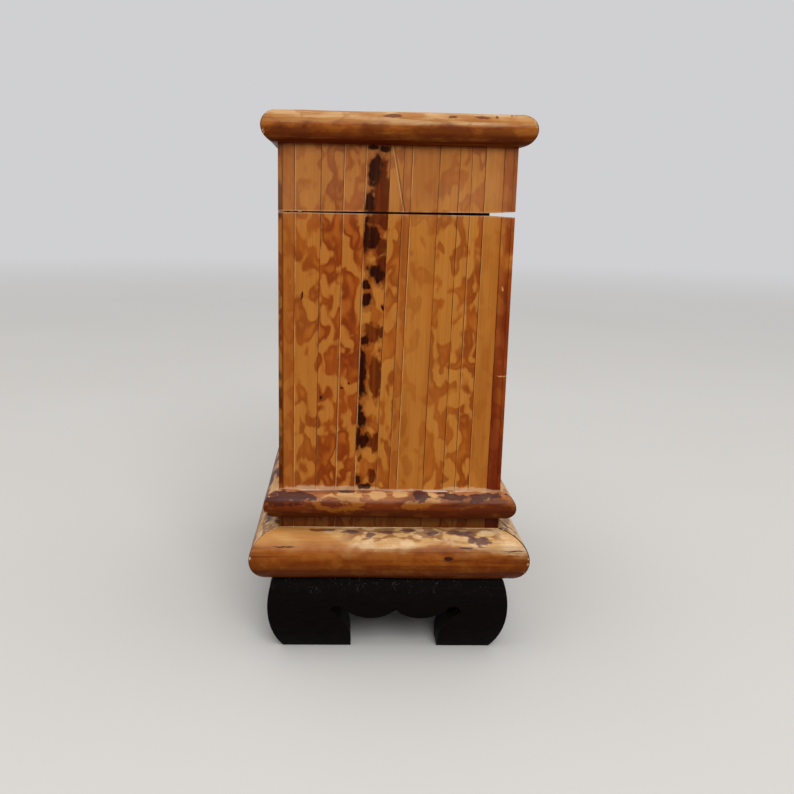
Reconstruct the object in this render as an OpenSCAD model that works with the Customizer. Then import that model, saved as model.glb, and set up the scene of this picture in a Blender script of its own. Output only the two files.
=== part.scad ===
// Lidded box veneered in split bamboo, on a black bracket-foot stand.
// Millimetres. +Z is up and the origin is the middle of the footprint, on the table.
// The length runs along X, the lid opens at the front (-Y) and hinges at the back (+Y).

/* [Box] */
// Length of the box along its front, over the bamboo strips
box_l = 150; // [120:1:220]
// Depth of the box from front to back, over the bamboo strips
box_w = 90; // [80:1:120]
// Height of the case walls, from the plinth to the rim
case_h = 125.3; // [100:0.1:170]
// Height of the lid's plain wall, from the case rim to the lid rod
lid_skirt_h = 25; // [18:0.5:45]

/* [Walls] */
// Thickness of the carcass boards
carcass_t = 7; // [6:0.5:9]
// Thickness of the bamboo strips
veneer_t = 1.5; // [1:0.1:2]
// Depth of the corner rebates that seat the end boards
rebate_d = 3.5; // [2:0.5:4.5]
// Thickness of the case floor
floor_t = 7; // [5:0.5:10]
// Thickness of the lid's top board
lid_board_t = 7; // [5:0.5:9]
// Thickness of the liner boards
liner_t = 3; // [2:0.5:4]
// Thickness of the liner's floor
liner_floor_t = 2; // [1.5:0.5:4]
// Height of the liner's lip above the case rim
lip_h = 6; // [4:0.5:9]
// Room between the liner's lip and the lid's walls
lip_clear = 0.7; // [0.6:0.1:1]
// Bevel along the lip's upper outer edge
lip_bevel = 1; // [0.5:0.1:1.5]

/* [Rim] */
// Gap between the rims at the hinges
gap_back = 0.45; // [0.4:0.05:0.6]
// Gap between the rims at the front wall
gap_front = 1.1; // [0.7:0.1:1.6]
// How far back the finger bevel runs from the front
finger_run = 8.3; // [5:0.1:10]
// How far the finger bevel cuts into each rim at the front
finger_drop = 0.5; // [0.2:0.1:1]

/* [Strips] */
// Usual width of one bamboo strip
strip_w = 9.5; // [7:0.5:14]
// Open seam between neighbouring strips
seam_gap = 0.12; // [0.08:0.02:0.3]
// How far the middle seams lean between rim and plinth
strip_lean = 2.8; // [0:0.1:4]
// Share of a strip's width by which a seam may stray from an even spacing
seam_stray = 0.2; // [0:0.05:0.3]
// How far the lid's top strips lie below the top of the lid rods
top_strip_drop = 0.4; // [0:0.1:1]

/* [Rods] */
// Height of the half-round rod around the lid
lid_rod_d = 11.8; // [8:0.1:15]
// How far the lid rod stands out
lid_rod_out = 5.9; // [4:0.1:7]
// Height of the half-round rod around the waist
waist_rod_d = 11.5; // [8:0.1:15]
// How far the waist rod stands out
waist_rod_out = 5.75; // [4:0.05:7]
// Plain band of strips between the plinth rod and the waist rod
waist_gap = 4.5; // [2:0.5:10]
// Height of the large half-round rod around the plinth
plinth_rod_d = 21; // [16:0.5:26]
// How far the plinth rod stands out
plinth_rod_out = 11.3; // [8:0.1:13]

/* [Stand] */
// Height of the stand
stand_h = 32.5; // [28:0.5:42]
// How far the stand's belly stands out past the box
stand_bulge = 4.6; // [2:0.1:7]
// Radius of the stand's curved face
stand_curve_r = 36; // [32:1:60]
// Height of the widest part of the belly
belly_z = 20; // [18:0.5:26]
// How far the aprons reach inwards from the box's face
apron_in = 12; // [9:0.5:15]
// How far each bracket foot reaches inwards from the box's corner
foot_reach = 26.8; // [22:0.2:30]
// Radius of the foot's rounded inner edge
toe_r = 16; // [12:0.5:20]
// Height at which the foot's inner edge starts to curve away
toe_z = 4; // [2:0.5:6]
// Usual width of one lobe of the apron's cloud edge
lobe_w = 20; // [14:1:30]
// How far a lobe hangs below the points beside it
lobe_sag = 3.7; // [2:0.1:5]
// Height of the lobes' lowest point
lobe_z = 15.3; // [13:0.1:18]
// Radius of the small round notch beside each foot
notch_r = 3.4; // [2.5:0.1:4]
// How far the notch's centre lies beyond the foot's inner edge
notch_reach = 5.8; // [5:0.1:7]
// How far the end aprons' cut-outs sit towards the front
cut_shift = 3.2; // [0:0.1:4]
// Thickness of the stand's top board
stand_board_t = 8; // [6:0.5:10]
// Leg of the glue blocks in the stand's corners
block_leg = 9; // [6:0.5:10]
// Height of the glue blocks' lower ends
block_z = 8; // [4:0.5:14]

/* [Hinges] */
// Distance from the box's end to the middle of a hinge
hinge_in = 40; // [30:1:50]
// Length of a hinge
hinge_len = 20; // [16:1:26]
// Outer diameter of the hinge knuckles
knuckle_d = 3.4; // [3:0.1:4]
// Diameter of the hinge pins
pin_d = 1.6; // [1.2:0.1:2]
// How far the hinge axis lies behind the box's back face
axis_out = 0.3; // [0.1:0.1:0.6]
// Thickness of the hinge leaves
leaf_t = 0.8; // [0.6:0.1:1]
// How far the leaves reach inwards from the back face
leaf_reach = 7; // [6.5:0.1:7.2]
// Distance from the back face to the hinge screws
hinge_screw_in = 4.8; // [4.5:0.1:5]
// Spacing of the two screws in a leaf
hinge_screw_gap = 11; // [8:0.5:13]

/* [Screws] */
// Shank diameter of the hinge screws
hinge_screw_d = 1.4; // [1:0.1:1.6]
// Length of the hinge screws
hinge_screw_len = 9; // [6:0.5:12]
// Shank diameter of the wood screws in the base
wood_screw_d = 3; // [2.5:0.1:3.5]
// How far the plinth screws bite into the case floor
plinth_screw_bite = 4.5; // [3:0.5:4.5]
// How far the stand screws bite into the plinth
stand_screw_bite = 12; // [8:0.5:14]
// Distance from the box's faces to the plinth screws
plinth_screw_in = 17; // [15:0.5:20]
// Distance from the box's faces to the stand screws
stand_screw_in = 27; // [26:0.5:30]

/* [Fits] */
// Radial room between a pin and its knuckles
pin_clear = 0.04; // [0.02:0.01:0.08]
// Gap between neighbouring knuckles
knuckle_gap = 0.2; // [0.15:0.05:0.3]
// Room around the knuckles in the rims
knuckle_clear = 0.35; // [0.3:0.05:0.5]
// Room around the leaves in their recesses
leaf_clear = 0.1; // [0.05:0.05:0.2]
// Room between the liner's floor and the liner boards around it
liner_clear = 0.2; // [0.1:0.05:0.5]
// Radial room around the screws
screw_clear = 0.05; // [0.02:0.01:0.1]

/* [Hidden] */
$fn = 64;
FRONT = 0;
RIGHT = 1;
BACK = 2;
LEFT = 3;
ENDS = [-1, 1];

// Widths of the strips on the left end, from back to front.
// They are stretched together to fill the face, and the right end mirrors them.
END_STRIP_W = [5, 10.2, 8.7, 8.3, 9.4, 5.4, 3.1, 10.8, 7.9, 4.8, 5.4, 7.3, 3.8];

// How far a cut runs past the face that it starts from
past = 1;
wall_t = carcass_t + veneer_t;
lid_carcass_t = carcass_t - lip_clear;
plinth_top = stand_h + plinth_rod_d;
waist_z = plinth_top + waist_gap;
rim_z = plinth_top + case_h;
lid_rod_z = rim_z + lid_skirt_h;
lid_top = lid_rod_z + lid_rod_d;
top_strip_z = lid_top - top_strip_drop - veneer_t;
lid_board_z = top_strip_z - lid_board_t;
floor_top = plinth_top + floor_t;
liner_z = floor_top + liner_floor_t;
hinge_x = box_l / 2 - hinge_in;
axis_y = box_w / 2 + axis_out;
axis_z = rim_z + gap_back / 2;
knuckle_r = knuckle_d / 2;
knuckle_pitch = hinge_len / 3;
lobe_top = lobe_z + lobe_sag;

straw = "#b87a34";
honey = "#c98a3c";
amber = "#a8642a";
umber = "#7a4420";
raw_wood = "#c8a878";
lacquer_black = "#161412";
brass_tone = "#b08d3c";
steel_tone = "#9a9a98";

// A side's run is the width of its face, and its half is the face's distance from the middle.
function is_end(side) = side % 2 == 1;
function run_of(side) = is_end(side) ? box_w : box_l;
function half_of(side) = is_end(side) ? box_l / 2 : box_w / 2;

// Turns what is drawn for the front face to another side.
module on_side(side) {
    rotate([0, 0, 90 * side]) children();
}

// Extrudes an outline that is drawn in Y and Z along X.
module along_x(length) {
    rotate([90, 0, 90]) linear_extrude(length, center = true) children();
}

// Extrudes an outline that is drawn in X and Z from y_from towards -Y.
module towards_front(y_from, depth) {
    translate([0, y_from, 0]) rotate([90, 0, 0]) linear_extrude(depth) children();
}

module box_between(low, high) {
    translate(low) cube(high - low);
}

// The part of the front side between its two mitre planes.
module mitre_zone(side, inner, outer, z_low, z_high) {
    run = run_of(side);
    half = half_of(side);
    translate([0, 0, z_low]) linear_extrude(z_high - z_low) polygon([
        [inner - run / 2, inner - half],
        [run / 2 - inner, inner - half],
        [run / 2 + outer, -half - outer],
        [-run / 2 - outer, -half - outer]
    ]);
}

// Half-round bamboo rod with mitred ends and its flat back against a face.
module half_rod(side, z_low, d, out) {
    on_side(side) intersection() {
        translate([0, d / 2 - out - half_of(side), z_low + d / 2])
            rotate([0, 90, 0]) cylinder(d = d, h = run_of(side) + 4 * out, center = true);
        mitre_zone(side, 0, out + past, z_low - past, z_low + d + past);
    }
}

// What is cut away above the case's rim, with the finger bevel at the front.
module above_case() {
    front = -box_w / 2;
    bevel_end = finger_drop * (finger_run + past) / finger_run;
    along_x(box_l + 2 * past) polygon([
        [box_w / 2 + past, rim_z],
        [front + finger_run, rim_z],
        [front - past, rim_z - bevel_end],
        [front - past, rim_z + 2 * past],
        [box_w / 2 + past, rim_z + 2 * past]
    ]);
}

// Height of the lid's rim, which rises a little from the hinges to the front.
function lid_rim(y) = rim_z + gap_back + (gap_front - gap_back) * (box_w / 2 - y) / box_w;

// What is cut away below the lid's rim, with the finger bevel at the front.
module below_lid() {
    front = -box_w / 2;
    bevel_end = finger_drop * (finger_run + past) / finger_run;
    along_x(box_l + 2 * past) polygon([
        [box_w / 2 + past, lid_rim(box_w / 2 + past)],
        [front + finger_run, lid_rim(front + finger_run)],
        [front - past, lid_rim(front - past) + bevel_end],
        [front - past, rim_z - past],
        [box_w / 2 + past, rim_z - past]
    ]);
}

// Countersunk screw with its head's face at the origin and its point upwards.
module screw(d, length, room = 0) {
    head_h = d / 2;
    tip = d;
    cylinder(r1 = d + room, r2 = d / 2 + room, h = head_h);
    cylinder(r = d / 2 + room, h = length - tip);
    translate([0, 0, length - tip]) cylinder(r1 = d / 2 + room, r2 = d / 8 + room, h = tip);
}

module at_corners(x, y) {
    for (sx = ENDS, sy = ENDS) translate([sx * x, sy * y, 0]) children();
}

// The stand: mitred aprons with bracket feet, a top board, glue blocks and screws.

// The cloud-shaped opening under an apron, drawn in X and Z.
module cloud_cut(run) {
    half_gap = run / 2 - foot_reach;
    lobed = half_gap + notch_reach - notch_r;
    lobes = 2 * max(1, round(lobed / lobe_w));
    pitch = 2 * lobed / lobes;
    lobe_r = (pitch * pitch / 4 + lobe_sag * lobe_sag) / (2 * lobe_sag);
    notch_x = half_gap + notch_reach;
    notch_z = lobe_top - notch_r / 2;
    difference() {
        union() {
            translate([-notch_x, -past]) square([2 * notch_x, notch_z + past]);
            translate([-lobed, 0]) square([2 * lobed, lobe_top]);
            for (s = ENDS) translate([s * notch_x, notch_z]) circle(notch_r);
        }
        for (s = ENDS) {
            translate([s * (half_gap + toe_r), toe_z]) circle(toe_r);
            translate([s > 0 ? half_gap : -half_gap - toe_r, -2 * past]) square([toe_r, toe_z + 2 * past]);
        }
        for (i = [0 : lobes - 1])
            translate([-lobed + (i + 0.5) * pitch, lobe_z + lobe_r]) circle(lobe_r);
    }
}

module apron(side, shift = 0) {
    half = half_of(side);
    on_side(side) difference() {
        intersection() {
            along_x(run_of(side) + 4 * stand_bulge + 4 * past) intersection() {
                translate([stand_curve_r - stand_bulge - half, belly_z]) circle(stand_curve_r, $fn = 128);
                translate([-half - stand_bulge - past, 0])
                    square([apron_in + stand_bulge + past, stand_h]);
            }
            mitre_zone(side, apron_in, stand_bulge + past, -past, stand_h + past);
        }
        translate([shift, 0, 0])
            towards_front(apron_in + past - half, apron_in + stand_bulge + 2 * past)
                cloud_cut(run_of(side));
    }
}

module stand_front() {
    color(lacquer_black) apron(FRONT);
}

module stand_back() {
    color(lacquer_black) apron(BACK);
}

module stand_left() {
    color(lacquer_black) apron(LEFT, cut_shift);
}

module stand_right() {
    color(lacquer_black) apron(RIGHT, -cut_shift);
}

stand_in_x = box_l / 2 - apron_in;
stand_in_y = box_w / 2 - apron_in;
stand_screw_x = box_l / 2 - stand_screw_in;
stand_screw_y = box_w / 2 - stand_screw_in;
stand_screw_z = stand_h - stand_board_t;
stand_screw_len = stand_board_t + stand_screw_bite;

module stand_top_board() {
    color(lacquer_black) difference() {
        box_between([-stand_in_x, -stand_in_y, stand_h - stand_board_t], [stand_in_x, stand_in_y, stand_h]);
        at_corners(stand_screw_x, stand_screw_y) translate([0, 0, stand_screw_z])
            screw(wood_screw_d, stand_screw_len, screw_clear);
    }
}

module stand_corner_blocks() {
    color(lacquer_black) for (sx = ENDS, sy = ENDS)
        translate([sx * stand_in_x, sy * stand_in_y, block_z])
            linear_extrude(stand_h - stand_board_t - block_z)
                polygon([[0, 0], [-sx * block_leg, 0], [0, -sy * block_leg]]);
}

module stand_screws() {
    color(steel_tone) at_corners(stand_screw_x, stand_screw_y) translate([0, 0, stand_screw_z])
        screw(wood_screw_d, stand_screw_len);
}

// The plinth: a core board screwed up into the case floor, edged with the large rods.

plinth_screw_x = box_l / 2 - plinth_screw_in;
plinth_screw_y = box_w / 2 - plinth_screw_in;
plinth_screw_len = plinth_rod_d + plinth_screw_bite;

module plinth_board() {
    color(raw_wood) difference() {
        box_between([-box_l / 2, -box_w / 2, stand_h], [box_l / 2, box_w / 2, plinth_top]);
        at_corners(plinth_screw_x, plinth_screw_y) translate([0, 0, stand_h])
            screw(wood_screw_d, plinth_screw_len, screw_clear);
        at_corners(stand_screw_x, stand_screw_y) translate([0, 0, stand_screw_z])
            screw(wood_screw_d, stand_screw_len, screw_clear);
    }
}

module plinth_screws() {
    color(steel_tone) at_corners(plinth_screw_x, plinth_screw_y) translate([0, 0, stand_h])
        screw(wood_screw_d, plinth_screw_len);
}

module plinth_rod(side) {
    color(honey) half_rod(side, stand_h, plinth_rod_d, plinth_rod_out);
}

module plinth_rod_front() {
    plinth_rod(FRONT);
}

module plinth_rod_back() {
    plinth_rod(BACK);
}

module plinth_rod_left() {
    plinth_rod(LEFT);
}

module plinth_rod_right() {
    plinth_rod(RIGHT);
}

module waist_rod(side) {
    color(umber) half_rod(side, waist_z, waist_rod_d, waist_rod_out);
}

module waist_rod_front() {
    waist_rod(FRONT);
}

module waist_rod_back() {
    waist_rod(BACK);
}

module waist_rod_left() {
    waist_rod(LEFT);
}

module waist_rod_right() {
    waist_rod(RIGHT);
}

// The carcass walls of the case and of the lid.

// Front or back board, rebated at both ends to take the end boards.
module long_board(side, t, z_low, z_high) {
    face = veneer_t - half_of(side);
    reach = box_l / 2 - veneer_t;
    on_side(side) difference() {
        box_between([-reach, face, z_low], [reach, face + t, z_high]);
        for (s = ENDS)
            translate([s * reach, face + t, (z_low + z_high) / 2])
                cube([2 * t, 2 * rebate_d, z_high - z_low + 2 * past], center = true);
    }
}

module end_board(side, t, z_low, z_high) {
    face = veneer_t - half_of(side);
    reach = box_w / 2 - veneer_t - t + rebate_d;
    on_side(side) box_between([-reach, face, z_low], [reach, face + t, z_high]);
}

module case_long(side) {
    difference() {
        long_board(side, carcass_t, plinth_top, rim_z + past);
        above_case();
    }
}

module case_end(side) {
    color(raw_wood) difference() {
        end_board(side, carcass_t, plinth_top, rim_z + past);
        above_case();
    }
}

module case_front() {
    color(raw_wood) case_long(FRONT);
}

module case_back() {
    color(raw_wood) difference() {
        case_long(BACK);
        hinge_recess(-1);
        at_hinge_screws(-1) screw(hinge_screw_d, hinge_screw_len, screw_clear);
    }
}

module case_left() {
    case_end(LEFT);
}

module case_right() {
    case_end(RIGHT);
}

module case_floor() {
    x = box_l / 2 - wall_t;
    y = box_w / 2 - wall_t;
    color(raw_wood) difference() {
        box_between([-x, -y, plinth_top], [x, y, floor_top]);
        at_corners(plinth_screw_x, plinth_screw_y) translate([0, 0, stand_h])
            screw(wood_screw_d, plinth_screw_len, screw_clear);
    }
}

// The bamboo strips, laid upright on the walls and along the lid's top.

// Sum of the first count widths of the end strips.
function end_sum(count) = count == 0 ? 0 : END_STRIP_W[count - 1] + end_sum(count - 1);
function end_share(seam) = end_sum(seam) / end_sum(len(END_STRIP_W));
function even_share(seam, count) =
    seam == 0 || seam == count ? seam / count : (seam + seam_stray * sin(137.5 * seam)) / count;
function strip_count(side) = is_end(side) ? len(END_STRIP_W) : round(run_of(side) / strip_w);
function seam_share(side, seam) =
    side == LEFT ? end_share(seam)
    : side == RIGHT ? 1 - end_share(strip_count(side) - seam)
    : even_share(seam, strip_count(side));

// The long sides' strips cover the edges of the ends' strips.
function strips_run(side) = is_end(side) ? run_of(side) - 2 * veneer_t : run_of(side);
function seam_x(side, seam, z) =
    let(share = seam_share(side, seam), lean = strip_lean * (z - rim_z) / case_h)
    (share - 0.5) * strips_run(side) + lean * sin(180 * share);

module strips(side, z_low, z_high) {
    count = strip_count(side);
    on_side(side) towards_front(veneer_t - half_of(side), veneer_t)
        for (i = [0 : count - 1]) {
            left = i == 0 ? 0 : seam_gap / 2;
            right = i == count - 1 ? 0 : seam_gap / 2;
            polygon([
                [seam_x(side, i, z_low) + left, z_low],
                [seam_x(side, i + 1, z_low) - right, z_low],
                [seam_x(side, i + 1, z_high) - right, z_high],
                [seam_x(side, i, z_high) + left, z_high]
            ]);
        }
}

module case_strips(side) {
    difference() {
        strips(side, plinth_top, rim_z + past);
        above_case();
    }
}

module case_front_strips() {
    color(straw) case_strips(FRONT);
}

module case_back_strips() {
    color(straw) difference() {
        case_strips(BACK);
        hinge_recess(-1);
    }
}

module case_left_strips() {
    color(straw) case_strips(LEFT);
}

module case_right_strips() {
    color(straw) case_strips(RIGHT);
}

// The black liner, which stands above the rim to guide the lid.

liner_x = box_l / 2 - wall_t;
liner_y = box_w / 2 - wall_t;
lip_top = rim_z + lip_h;

// Liner board behind a face, with a bevel along its upper outer edge.
module liner_board(side, length) {
    face = wall_t - half_of(side);
    color(lacquer_black) on_side(side) along_x(length) polygon([
        [face, floor_top],
        [face + liner_t, floor_top],
        [face + liner_t, lip_top],
        [face + lip_bevel, lip_top],
        [face, lip_top - lip_bevel]
    ]);
}

module liner_front() {
    liner_board(FRONT, 2 * liner_x);
}

module liner_back() {
    liner_board(BACK, 2 * liner_x);
}

module liner_left() {
    liner_board(LEFT, 2 * (liner_y - liner_t));
}

module liner_right() {
    liner_board(RIGHT, 2 * (liner_y - liner_t));
}

// The floor is dropped in between the four boards.
module liner_floor() {
    x = liner_x - liner_t - liner_clear;
    y = liner_y - liner_t - liner_clear;
    color(lacquer_black) box_between([-x, -y, floor_top], [x, y, liner_z]);
}

// The hinges: one leaf let into each rim, three knuckles and a pin.
// A level of -1 is the case's leaf, and +1 the lid's.

module at_hinges() {
    for (s = ENDS) translate([s * hinge_x, axis_y, axis_z]) children();
}

// Rod along the hinge axis.
module knuckle_rod(r, length) {
    rotate([0, 90, 0]) cylinder(r = r, h = length, center = true);
}

// Screws at a leaf's holes, with their heads flush with the leaf's face.
module at_hinge_screws(level) {
    at_hinges() for (s = ENDS)
        translate([s * hinge_screw_gap / 2, -axis_out - hinge_screw_in, level * gap_back / 2])
            rotate([level > 0 ? 0 : 180, 0, 0]) children();
}

module hinge_recess(level) {
    reach = leaf_reach + axis_out + leaf_clear;
    depth = leaf_t + gap_back / 2;
    at_hinges() {
        translate([-hinge_len / 2 - leaf_clear, -reach, level > 0 ? -past : -depth])
            cube([hinge_len + 2 * leaf_clear, reach + knuckle_r, depth + past]);
        knuckle_rod(knuckle_r + knuckle_clear, hinge_len + 2 * knuckle_clear);
    }
}

// The middle of three knuckles belongs to the lid and the outer two to the case.
module hinge_leaf(level) {
    own = level > 0 ? [0] : ENDS;
    reach = leaf_reach + axis_out;
    z_low = level > 0 ? gap_back / 2 : -gap_back / 2 - leaf_t;
    inner = knuckle_r + knuckle_clear;
    knuckle_len = knuckle_pitch - knuckle_gap;
    difference() {
        union() {
            translate([-hinge_len / 2, -reach, z_low]) cube([hinge_len, reach - inner, leaf_t]);
            for (k = own) translate([k * knuckle_pitch, 0, 0]) along_x(knuckle_len) {
                circle(knuckle_r);
                translate([-inner - past, z_low]) square([inner + past, leaf_t]);
            }
        }
        knuckle_rod(pin_d / 2 + pin_clear, hinge_len + 2 * past);
    }
}

module hinge_leaves(level) {
    color(brass_tone) difference() {
        at_hinges() hinge_leaf(level);
        at_hinge_screws(level) screw(hinge_screw_d, hinge_screw_len, screw_clear);
    }
}

module hinge_case_leaves() {
    hinge_leaves(-1);
}

module hinge_lid_leaves() {
    hinge_leaves(1);
}

module hinge_pins() {
    color(brass_tone) at_hinges() knuckle_rod(pin_d / 2, hinge_len);
}

module hinge_case_screws() {
    color(brass_tone) at_hinge_screws(-1) screw(hinge_screw_d, hinge_screw_len);
}

module hinge_lid_screws() {
    color(brass_tone) at_hinge_screws(1) screw(hinge_screw_d, hinge_screw_len);
}

// The lid: four walls sawn from the same carcass, a top board, strips and rods.

module lid_long(side) {
    difference() {
        long_board(side, lid_carcass_t, rim_z, lid_board_z);
        below_lid();
    }
}

module lid_end(side) {
    color(raw_wood) difference() {
        end_board(side, lid_carcass_t, rim_z, lid_board_z);
        below_lid();
    }
}

module lid_front() {
    color(raw_wood) lid_long(FRONT);
}

module lid_back() {
    color(raw_wood) difference() {
        lid_long(BACK);
        hinge_recess(1);
        at_hinge_screws(1) screw(hinge_screw_d, hinge_screw_len, screw_clear);
    }
}

module lid_left() {
    lid_end(LEFT);
}

module lid_right() {
    lid_end(RIGHT);
}

module lid_top_board() {
    x = box_l / 2 - veneer_t;
    y = box_w / 2 - veneer_t;
    color(raw_wood) box_between([-x, -y, lid_board_z], [x, y, top_strip_z]);
}

module lid_strips(side) {
    difference() {
        strips(side, rim_z, top_strip_z);
        below_lid();
    }
}

module lid_front_strips() {
    color(straw) lid_strips(FRONT);
}

module lid_back_strips() {
    color(straw) difference() {
        lid_strips(BACK);
        hinge_recess(1);
    }
}

module lid_left_strips() {
    color(straw) lid_strips(LEFT);
}

module lid_right_strips() {
    color(straw) lid_strips(RIGHT);
}

module lid_top_strips() {
    count = round(box_w / strip_w);
    color(straw) for (i = [0 : count - 1]) {
        y_low = (even_share(i, count) - 0.5) * box_w + (i == 0 ? 0 : seam_gap / 2);
        y_high = (even_share(i + 1, count) - 0.5) * box_w - (i == count - 1 ? 0 : seam_gap / 2);
        box_between([-box_l / 2, y_low, top_strip_z], [box_l / 2, y_high, top_strip_z + veneer_t]);
    }
}

module lid_rod(side) {
    color(amber) half_rod(side, lid_rod_z, lid_rod_d, lid_rod_out);
}

module lid_rod_front() {
    lid_rod(FRONT);
}

module lid_rod_back() {
    lid_rod(BACK);
}

module lid_rod_left() {
    lid_rod(LEFT);
}

module lid_rod_right() {
    lid_rod(RIGHT);
}

stand_front();
stand_back();
stand_left();
stand_right();
stand_top_board();
stand_corner_blocks();
stand_screws();
plinth_board();
plinth_screws();
plinth_rod_front();
plinth_rod_back();
plinth_rod_left();
plinth_rod_right();
waist_rod_front();
waist_rod_back();
waist_rod_left();
waist_rod_right();
case_front();
case_back();
case_left();
case_right();
case_floor();
case_front_strips();
case_back_strips();
case_left_strips();
case_right_strips();
liner_front();
liner_back();
liner_left();
liner_right();
liner_floor();
hinge_case_leaves();
hinge_pins();
hinge_case_screws();
lid_front();
lid_back();
lid_left();
lid_right();
lid_top_board();
lid_front_strips();
lid_back_strips();
lid_left_strips();
lid_right_strips();
lid_top_strips();
lid_rod_front();
lid_rod_back();
lid_rod_left();
lid_rod_right();
hinge_lid_leaves();
hinge_lid_screws();
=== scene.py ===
import math
import random
from collections import namedtuple

import bmesh
import bpy
from mathutils import Matrix, Vector, noise


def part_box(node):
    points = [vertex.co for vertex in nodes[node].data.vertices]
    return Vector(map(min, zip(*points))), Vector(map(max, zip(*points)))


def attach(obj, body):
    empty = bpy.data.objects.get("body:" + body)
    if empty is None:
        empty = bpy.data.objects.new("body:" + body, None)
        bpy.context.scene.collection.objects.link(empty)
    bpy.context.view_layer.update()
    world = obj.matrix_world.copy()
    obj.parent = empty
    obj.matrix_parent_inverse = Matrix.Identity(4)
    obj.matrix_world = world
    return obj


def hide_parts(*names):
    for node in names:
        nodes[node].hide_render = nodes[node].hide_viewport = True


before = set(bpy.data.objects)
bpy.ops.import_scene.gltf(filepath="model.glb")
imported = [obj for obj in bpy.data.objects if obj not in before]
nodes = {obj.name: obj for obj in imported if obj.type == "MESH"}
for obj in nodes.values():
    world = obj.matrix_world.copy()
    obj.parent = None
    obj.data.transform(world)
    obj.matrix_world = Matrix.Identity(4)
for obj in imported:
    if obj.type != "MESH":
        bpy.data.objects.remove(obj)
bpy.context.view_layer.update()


# Stand aprons
# Four mitred aprons of hardwood, sawn to a cloud edge with bracket feet and rounded on the outside.
# They are glued at the mitres, eased by hand along the arrises, and brushed with black paint.


class Wire:
    """One output in a material's node tree. Arithmetic on it adds Math nodes."""

    def __init__(self, tree, output=None):
        self.tree = tree
        self.output = output

    def feed(self, socket, value):
        if isinstance(value, Wire):
            self.tree.links.new(value.output, socket)
        else:
            socket.default_value = value

    def node(self, kind, settings, sockets, output=0):
        """Adds a node of this kind: its settings come first, then its sockets are fed."""
        made = self.tree.nodes.new(kind)
        for key, value in settings.items():
            setattr(made, key, value)
        for key, value in sockets.items():
            self.feed(made.inputs[key], value)
        return Wire(self.tree, made.outputs[output])

    def maths(self, operation, first, second=0.0):
        return self.node("ShaderNodeMath", {"operation": operation}, {0: first, 1: second})

    def __add__(self, other):
        return self.maths("ADD", self, other)

    def __radd__(self, other):
        return self.maths("ADD", other, self)

    def __sub__(self, other):
        return self.maths("SUBTRACT", self, other)

    def __rsub__(self, other):
        return self.maths("SUBTRACT", other, self)

    def __mul__(self, other):
        return self.maths("MULTIPLY", self, other)

    def __rmul__(self, other):
        return self.maths("MULTIPLY", other, self)

    def __abs__(self):
        return self.maths("ABSOLUTE", self)

    def rise(self, low, high):
        """0 below low, 1 above high and a smooth step between."""
        sockets = {"Value": self, "From Min": low, "From Max": high}
        return self.node("ShaderNodeMapRange", {"interpolation_type": "SMOOTHSTEP"}, sockets)

    def larger(self, other):
        return self.maths("MAXIMUM", self, other)

    def between(self, low, high):
        """The number low where this is 0, and high where it is 1."""
        return low + self * (high - low)

    def mix(self, low, high):
        """The colour low where this is 0, and high where it is 1."""
        return self.node("ShaderNodeMix", {"data_type": "RGBA"}, {0: self, 6: low, 7: high}, 2)

    def places(self):
        return self.node("ShaderNodeTexCoord", {}, {}, "Object")

    def part(self, vector, index):
        return self.node("ShaderNodeSeparateXYZ", {}, {"Vector": vector}, index)

    def attribute(self, name, output):
        return self.node("ShaderNodeAttribute", {"attribute_name": name}, {}, output)

    def vectors(self, operation, first, second):
        return self.node("ShaderNodeVectorMath", {"operation": operation}, {0: first, 1: second})

    def stretched(self, places, axis, scale, offset=(0.0, 0.0, 0.0)):
        """Places scaled along one axis. A scale under 1 draws a pattern out that way."""
        scales = [scale if name == axis else 1.0 for name in "XYZ"]
        sockets = {"Vector": places, "Scale": scales, "Location": offset}
        return self.node("ShaderNodeMapping", {}, sockets)

    def cloud(self, places, scale, detail=2.0, roughness=0.5, warp=0.0, output=0):
        sockets = {
            "Vector": places,
            "Scale": scale,
            "Detail": detail,
            "Roughness": roughness,
            "Distortion": warp,
        }
        return self.node("ShaderNodeTexNoise", {}, sockets, output)

    def cells(self, places, scale, feature, output="Distance"):
        sockets = {"Vector": places, "Scale": scale}
        return self.node("ShaderNodeTexVoronoi", {"feature": feature}, sockets, output)

    def warped(self, places, scale, amount):
        """Places pushed about by a noise, which makes the shapes of a pattern on them uneven."""
        swirl = self.cloud(places, scale, 1.0, output="Color")
        push = self.vectors("SUBTRACT", swirl, (0.5, 0.5, 0.5))
        return self.vectors("ADD", places, self.vectors("MULTIPLY", push, (amount, amount, amount)))

    def length(self, vector):
        return self.node("ShaderNodeVectorMath", {"operation": "LENGTH"}, {0: vector}, "Value")

    def ovals(self, places, spots):
        """How far off the nearest of some ovals a place is: 0 in its middle and 1 on its rim."""
        nearest = 9.0
        for middle, reach in spots:
            off = self.vectors("DIVIDE", self.vectors("SUBTRACT", places, middle), reach)
            nearest = self.maths("MINIMUM", self.length(off), nearest)
        return nearest

    def patches(self, places, spots, frayed, soft):
        """1 in some ovals and 0 outside. A noise frays the rims, and soft is half their width."""
        return 1 - (self.ovals(places, spots) + frayed).rise(1 - soft, 1 + soft)

    def bump(self, height, strength, depth):
        sockets = {"Height": height, "Strength": strength, "Distance": depth}
        return self.node("ShaderNodeBump", {}, sockets)


def dye(code):
    """Turns a written colour such as b0722f into the linear colour that a shader takes."""
    parts = [int(code[i : i + 2], 16) / 255 for i in (0, 2, 4)]
    linear = [c / 12.92 if c <= 0.04045 else ((c + 0.055) / 1.055) ** 2.4 for c in parts]
    return (*linear, 1.0)


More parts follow.
